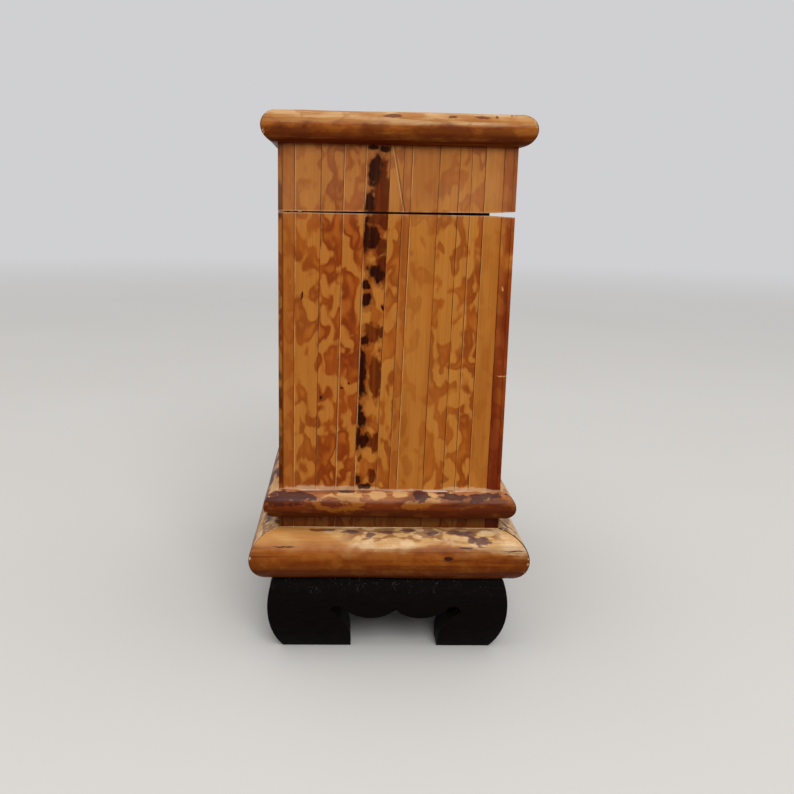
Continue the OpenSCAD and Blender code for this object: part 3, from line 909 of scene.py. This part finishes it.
class StripWires:
    """What the layers of a strip's finish share: its attributes, its places and some noises."""

    def __init__(self, start, along):
        marks = start.attribute("strip", "Color")
        place = start.attribute("place", "Vector")
        seams = start.attribute("seams", "Vector")
        self.tone = start.part(marks, 1)
        self.mottle = start.part(marks, 2)
        self.scorch = start.attribute("strip", "Alpha")
        self.from_left = start.part(place, 0)
        self.from_right = start.part(place, 1)
        self.level = start.part(place, 2)
        self.pale_seam = start.part(seams, 0)
        self.brown = start.part(seams, 1)
        self.from_sawn = start.part(seams, 2)
        self.places = start.places()
        seed = start.part(marks, 0)
        shifts = {0: seed * 3.7, 1: seed * 2.9, 2: seed * 5.3}
        shift = start.node("ShaderNodeCombineXYZ", {}, shifts)
        self.moved = start.vectors("ADD", self.places, shift)
        self.drawn = start.stretched(self.moved, along, 0.62)
        threads = start.stretched(self.moved, along, 0.02)
        self.fibres = start.cloud(threads, 1700.0, 3.0, 0.6)
        self.streaks = start.cloud(threads, 420.0, 2.0)
        self.broad = start.cloud(self.drawn, 50.0, 1.0)
        self.broken = start.cloud(self.places, 75.0, 2.0)


def mottled_skin(start, strip):
    """Honey skin, and over it tortoiseshell mottles, each with a darker rim."""
    firm = start.cloud(strip.drawn, 75.0, 1.0).rise(0.4, 0.58)
    pebbles = start.cells(start.warped(strip.drawn, 190.0, 0.0045), 185.0, "SMOOTH_F1")
    marbled = start.cloud(strip.drawn, 210.0, 1.4, 0.45, 0.4) + 0.35 * pebbles + strip.brown - 0.15
    plain = strip.streaks.rise(0.3, 0.7).mix(HONEY_SKIN, AMBER_SKIN)
    plain = (strip.broad.rise(0.4, 0.62) * 0.7).mix(plain, LIGHT_SKIN)
    edge_shade = (1 - strip.from_right.rise(0.0, 0.0035)) * strip.broad.rise(0.42, 0.55)
    plain = (edge_shade * 0.6).mix(plain, BROWN_SKIN)
    stain = marbled.rise(0.6, 0.8).mix(BROWN_SKIN, FADED_SKIN)
    tortoise = marbled.rise(0.44, 0.56).mix(LIGHT_SKIN, stain)
    rim = marbled.rise(0.47, 0.56) * (1 - marbled.rise(0.56, 0.74)) * (0.2 + 0.8 * firm)
    tortoise = (rim * 0.78).mix(tortoise, DARK_SKIN)
    return strip.mottle.mix(plain, tortoise)


def scorched_skin(start, strip, colour):
    """Chars a strip here and there along its length. Gives the colour and the charred share."""
    burnt = start.cloud(strip.drawn, 125.0, 2.0, 0.5, 0.7) + 0.34 * strip.scorch
    scorched = strip.scorch.rise(0.0, 0.15)
    colour = (burnt.rise(0.56, 0.72) * scorched * 0.65).mix(colour, DARK_SKIN)
    charred = burnt.rise(0.68, 0.77) * scorched
    char = start.cloud(strip.drawn, 240.0, 2.0).rise(0.42, 0.62).mix(CHAR, RED_CHAR)
    return charred.mix(colour, char), charred


def left_end_marks(start, strip, colour, uneven, fraying):
    """The left end's scorch marks and worm holes. Gives the colour and the blackened share."""
    spotted = start.attribute("spotted", "Fac")
    black_spots = face_spots(BLACK_MARKS)
    blackened = start.patches(uneven, black_spots, fraying, 0.28) * spotted
    singed = start.patches(uneven, black_spots, fraying - 0.6, 0.35) * spotted
    reddened = start.patches(uneven, face_spots(RED_MARKS), fraying, 0.28) * spotted
    pitted = start.patches(uneven, face_spots(PIT_MARKS), 0.0, 0.2)
    colour = (singed * 0.5).mix(colour, DARK_SKIN)
    rusty = strip.streaks.rise(0.45, 0.62).mix(RED_CHAR, RUST)
    colour = (reddened * 0.92).mix(colour, rusty)
    return blackened.larger(pitted).mix(colour, CHAR), blackened.larger(reddened)


def seams_and_pits(start, strip, colour):
    """Pale seam lines of glue and painted highlight, dark joint lines at a strip's edges, a frayed
    line at the saw cut, painted glint dots and pits.
    """
    broken = strip.broken
    # Painted highlight, partly glue: a pale line at a strip's left edge, broken by a noise.
    pale = broken.rise(0.36, 0.5) * strip.pale_seam
    pale_line = (1 - strip.from_left.rise(0.0001, 0.0005)) * pale
    colour = (pale_line * 0.75).mix(colour, SEAM_PALE)
    shut = (0.0 - strip.pale_seam).larger(0.0)
    shut_line = (1 - strip.from_left.rise(0.0002, 0.0008)) * shut
    colour = (shut_line * 0.8).mix(colour, SEAM_DARK)
    dark_line = 1 - strip.from_right.rise(0.00008, 0.0003)
    colour = (dark_line * (0.3 + 0.5 * broken.rise(0.45, 0.55))).mix(colour, SEAM_DARK)
    sawn_line = (1 - strip.from_sawn.rise(0.00015, 0.0006)) * broken.rise(0.38, 0.5)
    colour = (sawn_line * 0.3).mix(colour, DUST)
    # Painted highlights: sparse pale dots stand for glints on the varnish.
    dots = 1 - start.cells(strip.moved, 150.0, "F1").rise(0.012, 0.026)
    sparse = start.part(start.cells(strip.moved, 150.0, "F1", "Color"), 0).rise(0.84, 0.85)
    colour = (dots * sparse * 0.8).mix(colour, PAINTED_GLINT)
    pits = 1 - start.cells(strip.drawn, 95.0, "F1").rise(0.014, 0.03)
    rare = start.part(start.cells(strip.drawn, 95.0, "F1", "Color"), 1).rise(0.86, 0.87)
    return (pits * rare * strip.mottle).mix(colour, DARK_PIT)


def lid_sliver(start, strip, colour):
    """The sliver's leaning edge on the lid's left end: a bright line beside a dark one."""
    slope = (SLIVER_HEAD[0] - SLIVER_FOOT[0]) / (SLIVER_HEAD[1] - SLIVER_FOOT[1])
    beside = start.part(strip.places, 1) - SLIVER_FOOT[0] - slope * (strip.level - SLIVER_FOOT[1])
    here = on_left_end(start) * strip.level.rise(SLIVER_FOOT[1] - 0.0005, SLIVER_FOOT[1])
    step = beside.rise(-0.0002, 0.0001)
    bright = step * (1 - beside.rise(0.0002, 0.0005))
    dark = (1 - step) * beside.rise(-0.0008, -0.0004)
    colour = (bright * here * 0.65).mix(colour, SEAM_PALE)
    return (dark * here * 0.6).mix(colour, SEAM_DARK)


def wall_dirt_and_shade(start, strip, colour, clean):
    """Dirt and painted shade in the recess at the case's foot, dust that has gathered on the waist
    rod, and a haze on the lid.
    """
    # Painted shade, partly real dirt: the strips between the plinth and waist rods are darkened as
    # if the recess there were shaded.
    grime_and_shade = (1 - strip.level.rise(*CASE_FOOT)) * 0.75
    colour = grime_and_shade.mix(colour, CASE_FOOT_GRIME_AND_SHADE)
    heap = 0.0026 * strip.broken.rise(0.46, 0.60) * start.cloud(strip.places, 420.0, 3.0, 0.65)
    below = 1 - (strip.level - heap).rise(WAIST_TOP, WAIST_TOP + 0.0008)
    swept = strip.level.rise(WAIST_TOP - 0.0004, WAIST_TOP) * below
    colour = (swept * clean * 0.5).mix(colour, DUST)
    haze = strip.level.rise(*DUSTY_LID) * (0.03 + 0.09 * strip.broad) * clean
    return haze.mix(colour, DUST)


def strip_finish(name, along):
    """Varnished strips that run along Z on the walls, or along X on the lid's top."""
    finish, shader, start = new_finish(name, VARNISH)
    strip = StripWires(start, along)
    on_wall = along == "Z"
    if on_wall:
        strip.mottle = strip.mottle * (1 - 0.3 * strip.level.rise(*SAW_CUT))
    colour, sooty = scorched_skin(start, strip, mottled_skin(start, strip))
    if on_wall:
        uneven = start.warped(strip.places, 330.0, 0.0020)
        fraying = 1.5 * (start.cloud(strip.drawn, 480.0, 2.0) - 0.5)
        colour, blackened = left_end_marks(start, strip, colour, uneven, fraying)
        sooty = sooty.larger(blackened)
    clean = 1 - 0.9 * sooty
    colour = (strip.fibres.rise(0.35, 0.75) * 0.22).mix(colour, FIBRE_BROWN)
    squared = strip.tone * strip.tone
    shade = start.node("ShaderNodeCombineXYZ", {}, {0: strip.tone, 1: squared, 2: squared})
    darken = {"data_type": "RGBA", "blend_type": "MULTIPLY"}
    colour = start.node("ShaderNodeMix", darken, {0: 1.0, 6: colour, 7: shade}, 2)
    if on_wall:
        chips = start.patches(uneven, face_spots(CHIP_MARKS), fraying, 0.3) * on_left_end(start)
        colour = (chips * 0.7).mix(colour, SEAM_PALE)
    colour = seams_and_pits(start, strip, colour)
    if on_wall:
        colour = lid_sliver(start, strip, colour)
        colour = wall_dirt_and_shade(start, strip, colour, clean)
    else:
        colour = ((0.04 + 0.12 * strip.broad) * clean).mix(colour, DUST)
    at_edge = (1 - strip.from_left.rise(0.0, 0.0002)) + (1 - strip.from_right.rise(0.0, 0.0002))
    gloss = (0.04 + 0.12 * strip.broad) * (1 - at_edge) * clean
    height = strip.fibres + 0.6 * strip.streaks + 0.8 * strip.broad
    start.feed(shader.inputs["Base Color"], colour)
    start.feed(shader.inputs["Roughness"], 0.34 + 0.22 * strip.broad + 0.4 * at_edge)
    start.feed(shader.inputs["Coat Weight"], gloss)
    start.feed(shader.inputs["Normal"], start.bump(height, 0.25, 0.0001))
    return finish


strip_bamboo = strip_finish("strip_bamboo", "Z")
top_bamboo = strip_finish("top_bamboo", "X")


def strip_styles(side, low, high):
    """Styles for the strips of one side; now and then one is scorched along its length."""
    if side == "left":
        return LEFT_STRIPS
    spread = random.Random("styles of the " + side)
    styles = []
    for count in range(MOST_STRIPS):
        scorch = 0.0
        if count % 9 == 4:
            shares = [step / SCORCH_STEPS for step in range(SCORCH_STEPS + 1)]
            levels = [low + (high - low) * share for share in shares]
            scorch = [(level, spread.choice((0.0, 0.1, 0.7, 0.8, 0.95))) for level in levels]
        tone = spread.uniform(0.94, 1.05)
        mottle = spread.choice((0.15, 0.4, 0.7, 0.85, 1.0))
        brown = spread.uniform(-0.05, 0.05)
        pale_seam = spread.choice((0.0, 0.4, 0.8, 1.0))
        styles.append(Strip(tone, mottle, brown, pale_seam, count, scorch))
    if side == "front":
        styles[0] = Strip(CORNER_TONE, 0.40, 0.05, 0.0, 0)
    return styles


wall_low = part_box("case_left_strips")[0].z
wall_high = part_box("lid_left_strips")[1].z
for body, sawn in (("case", "high"), ("lid", "low")):
    for side in ("front", "right", "back", "left"):
        node = f"{body}_{side}_strips"
        bm = merged_copy(node)
        styles = strip_styles(side, wall_low, wall_high)
        spread = random.Random("strips of the " + side)
        shape_strips(bm, OUTWARD[side], UPRIGHT, styles, spread, sawn)
        name = f"{body}_{side}_veneer"
        even_shading(place_piece(name, bm, strip_bamboo, body, node))

bm = merged_copy("lid_top_strips")
top_low, top_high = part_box("lid_top_strips")
styles = strip_styles("top", top_low.x, top_high.x)
spread = random.Random("strips of the top")
shape_strips(bm, OUTWARD["top"], LENGTHWAYS, styles, spread, "none")
even_shading(place_piece("lid_top_veneer", bm, top_bamboo, "lid", "lid_top_strips"))


# Liner
# Thin boards with a black lacquer stand inside the case and rise above its rim to guide the lid.
# The floor drops in between them; the solids stay and get the lacquer.


def lacquer_finish():
    finish, shader, start = new_finish("black_lacquer", {"Specular IOR Level": 0.3})
    places = start.places()
    grain = start.cloud(start.stretched(places, "Z", 0.06), 900.0, 3.0, 0.6)
    dust = start.cloud(places, 120.0, 4.0, 0.65)
    start.feed(shader.inputs["Base Color"], dust.rise(0.4, 0.75).mix(dye("110d0c"), dye("231d1a")))
    start.feed(shader.inputs["Roughness"], 0.3 + 0.3 * dust)
    start.feed(shader.inputs["Normal"], start.bump(grain, 0.25, 0.0001))
    return finish


black_lacquer = lacquer_finish()
dress(black_lacquer, "liner_front", "liner_back", "liner_left", "liner_right", "liner_floor")


# Hinges
# Two small brass butt hinges, let into the rims at the back, with two brass screws in each leaf.
# The brass has dulled, with darker patches.


def brass_finish():
    finish, shader, start = new_finish("hinge_brass", {"Metallic": 1.0})
    places = start.places()
    dull = start.cloud(places, 320.0, 3.0, 0.6)
    rubbed = start.cloud(start.stretched(places, "X", 0.1), 2400.0, 2.0, 0.6)
    start.feed(shader.inputs["Base Color"], dull.rise(0.4, 0.65).mix(dye("a8863f"), dye("5e4522")))
    start.feed(shader.inputs["Roughness"], 0.25 + 0.3 * dull)
    start.feed(shader.inputs["Normal"], start.bump(rubbed, 0.15, 0.00005))
    return finish


hinge_brass = brass_finish()
dress(hinge_brass, "hinge_pins", "hinge_case_leaves", "hinge_case_screws")
dress(hinge_brass, "hinge_lid_leaves", "hinge_lid_screws")


# Lid rods
# Half culms around the lid's upper edge, glued over the strips and mitred at the corners.
# The skin is warm brown with a pale tan band on top and small scorched spots along the top. Painted
# shade darkens it toward the bottom, and a painted highlight pales the tan toward the top.


# Marks on the left rod: mm along it, degrees above level, half length and half height in mm.
LID_CLOUDS = [
    (44.0, -13, 3.5, 1.6),
    (35.5, -24, 4.0, 2.8),
    (10.5, -8, 5.5, 3.6),
    (-13.5, -13, 11.0, 2.6),
    (-37.0, -18, 6.0, 2.4),
]
LID_SPOTS = [
    (2.5, 45, 2.5, 1.0),
    (-19.0, 45, 2.5, 0.9),
    (-30.5, 45, 2.5, 0.9),
    (-35.5, 50, 0.6, 0.7),
    (-41.0, 60, 0.5, 0.8),
    (43.5, -8, 0.7, 0.7),
    (35.0, -8, 0.6, 0.7),
]


def lid_skin(start, along, share):
    places = culm_places(start, along, 0.5, 2.63)
    soft = start.cloud(places, 95.0, 2.0, 0.5, 0.4)
    ragged = start.cloud(places, 150.0, 2.0)
    mottles = start.cloud(places, 260.0, 3.0, 0.6, 0.3)
    streak = start.cloud(culm_places(start, along, 0.06, 1.1), 420.0, 3.0)
    clouds = soft.rise(0.52, 0.62)
    spots = start.cloud(places, 260.0, 2.0, 0.5, 0.5).rise(0.58, 0.65) * share.rise(0.68, 0.82)
    if along == "Y":
        here = on_left_end(start)
        fraying = fraying_of(start, along, 2.4)
        cloud_spots = rod_spots("lid_rod_left", LID_CLOUDS)
        shaded = start.patches(start.places(), cloud_spots, fraying - 0.1, 0.6)
        clouds = here.between(clouds, shaded)
        dark_spots = rod_spots("lid_rod_left", LID_SPOTS)
        dark = start.patches(start.places(), dark_spots, fraying, 0.25)
        spots = here.between(spots, dark)
    # Painted shade: the body is darker toward the bottom of the rod.
    body = share.rise(0.0, 0.6).mix(dye("702a06"), dye("9e581b"))
    body = (streak.rise(0.5, 0.62) * 0.55).mix(body, dye("a8682a"))
    body = ((1 - streak.rise(0.36, 0.48)) * 0.5).mix(body, dye("66280a"))
    body = (mottles.rise(0.48, 0.62) * 0.42).mix(body, dye("662808"))
    body = (clouds * 0.6).mix(body, dye("5a2207"))
    # Painted highlight: the tan band turns paler toward the top of the rod.
    tan = share.rise(0.7, 0.94).mix(dye("a87236"), dye("bc9668"))
    tan = (soft.rise(0.45, 0.6) * 0.7).mix(tan, dye("96581f"))
    tan = (streak.rise(0.48, 0.6) * 0.6).mix(tan, dye("c6a274"))
    tan = (mottles.rise(0.54, 0.64) * 0.5).mix(tan, dye("8e5422"))
    tan = (clouds * 0.3).mix(tan, dye("7c4216"))
    colour = (share + 0.3 * ragged).rise(0.72, 0.82).mix(body, tan)
    return (spots * 0.85).mix(colour, dye("5a2712"))


place_rods("lid", "lid", lid_skin, grain_seed=0.9, facets=48, wobble=0.0002, shape_seed=13)


# Floor, light and camera
# A plain pale floor that runs out into an even surround, a wide soft lamp above and a weaker one
# in front. The camera stands where the photograph's did, facing the left end of the box.

SURROUND = (0.63, 0.63, 0.645, 1.0)
FLOOR_HALF = 12.0


def seen_directly(start):
    """1 for rays from the camera, a mirror or glass, and 0 for the light that surfaces pass on."""
    seen = start.node("ShaderNodeLightPath", {}, {}, "Is Camera Ray")
    mirrored = start.node("ShaderNodeLightPath", {}, {}, "Is Glossy Ray")
    through = start.node("ShaderNodeLightPath", {}, {}, "Is Transmission Ray")
    return seen.larger(mirrored.larger(through))


def floor_finish():
    finish = bpy.data.materials.new("pale_floor")
    finish.use_nodes = True
    start = Wire(finish.node_tree)
    places = start.places()
    cloudy = start.cloud(places, 3.0, 2.0)
    pale = cloudy.mix(dye("bdbab6"), dye("c2c0bd"))
    near = start.node("ShaderNodeBsdfDiffuse", {}, {"Color": pale})
    dim = start.node("ShaderNodeBsdfDiffuse", {}, {"Color": dye("5e4c3c")})
    far = start.node("ShaderNodeEmission", {}, {"Color": SURROUND})
    distance = start.length(places)
    fading = start.node("ShaderNodeMixShader", {}, {0: distance.rise(0.5, 3.0), 1: near, 2: far})
    surface = start.node("ShaderNodeMixShader", {}, {0: seen_directly(start), 1: dim, 2: fading})
    start.feed(finish.node_tree.nodes["Material Output"].inputs["Surface"], surface)
    return finish


bm = bmesh.new()
bmesh.ops.create_grid(bm, x_segments=1, y_segments=1, size=FLOOR_HALF)
floor_mesh = bpy.data.meshes.new("floor")
bm.to_mesh(floor_mesh)
bm.free()
floor_mesh.materials.append(floor_finish())
floor = bpy.data.objects.new("floor", floor_mesh)
bpy.context.scene.collection.objects.link(floor)

world = bpy.data.worlds.new("surround")
world.use_nodes = True
bpy.context.scene.world = world
sky = Wire(world.node_tree)
upward = sky.part(sky.node("ShaderNodeTexCoord", {}, {}, "Generated"), 2)
glow = 0.42 + 0.4 * upward.rise(0.0, 0.8)
glow_colour = sky.node("ShaderNodeCombineXYZ", {}, {0: glow, 1: glow, 2: glow})
background = world.node_tree.nodes["Background"]
sky.feed(background.inputs["Color"], seen_directly(sky).mix(glow_colour, SURROUND))


def soft_lamp(name, place, target, size, power):
    lamp = bpy.data.lights.new(name, "AREA")
    lamp.shape = "SQUARE"
    lamp.size = size
    lamp.energy = power
    holder = bpy.data.objects.new(name, lamp)
    holder.location = place
    holder.rotation_euler = (Vector(target) - Vector(place)).to_track_quat("-Z", "Y").to_euler()
    bpy.context.scene.collection.objects.link(holder)


soft_lamp("overhead", place=(-0.5, 0.1, 3.0), target=(0.0, 0.0, 0.1), size=2.5, power=30.0)
soft_lamp("front_fill", place=(-1.4, -0.25, 1.2), target=(0.0, 0.0, 0.12), size=0.9, power=19.0)

# The camera that was fitted to the photograph: lengths in its pixels, angles in degrees.
PHOTO_SIZE = 794
FOCAL_PIXELS = 852.26
PRINCIPAL_X = 366.19
CAMERA_PLACE = (-0.40384, 0.02026, 0.18004)
HEADING = -91.72
TILT_DOWN = 12.36
ROLL = 1.08
camera_data = bpy.data.cameras.new("camera")
camera_data.sensor_width = 36.0
camera_data.lens = FOCAL_PIXELS * camera_data.sensor_width / PHOTO_SIZE
camera_data.shift_x = (PHOTO_SIZE / 2 - PRINCIPAL_X) / PHOTO_SIZE
camera_data.clip_start = 0.01
camera = bpy.data.objects.new("camera", camera_data)
heading = Matrix.Rotation(math.radians(HEADING), 4, "Z")
tilt = Matrix.Rotation(math.radians(90 - TILT_DOWN), 4, "X")
roll = Matrix.Rotation(math.radians(ROLL), 4, "Z")
camera.matrix_world = Matrix.Translation(CAMERA_PLACE) @ heading @ tilt @ roll
bpy.context.scene.collection.objects.link(camera)
bpy.context.scene.camera = camera
bpy.context.scene.view_settings.view_transform = "Standard"
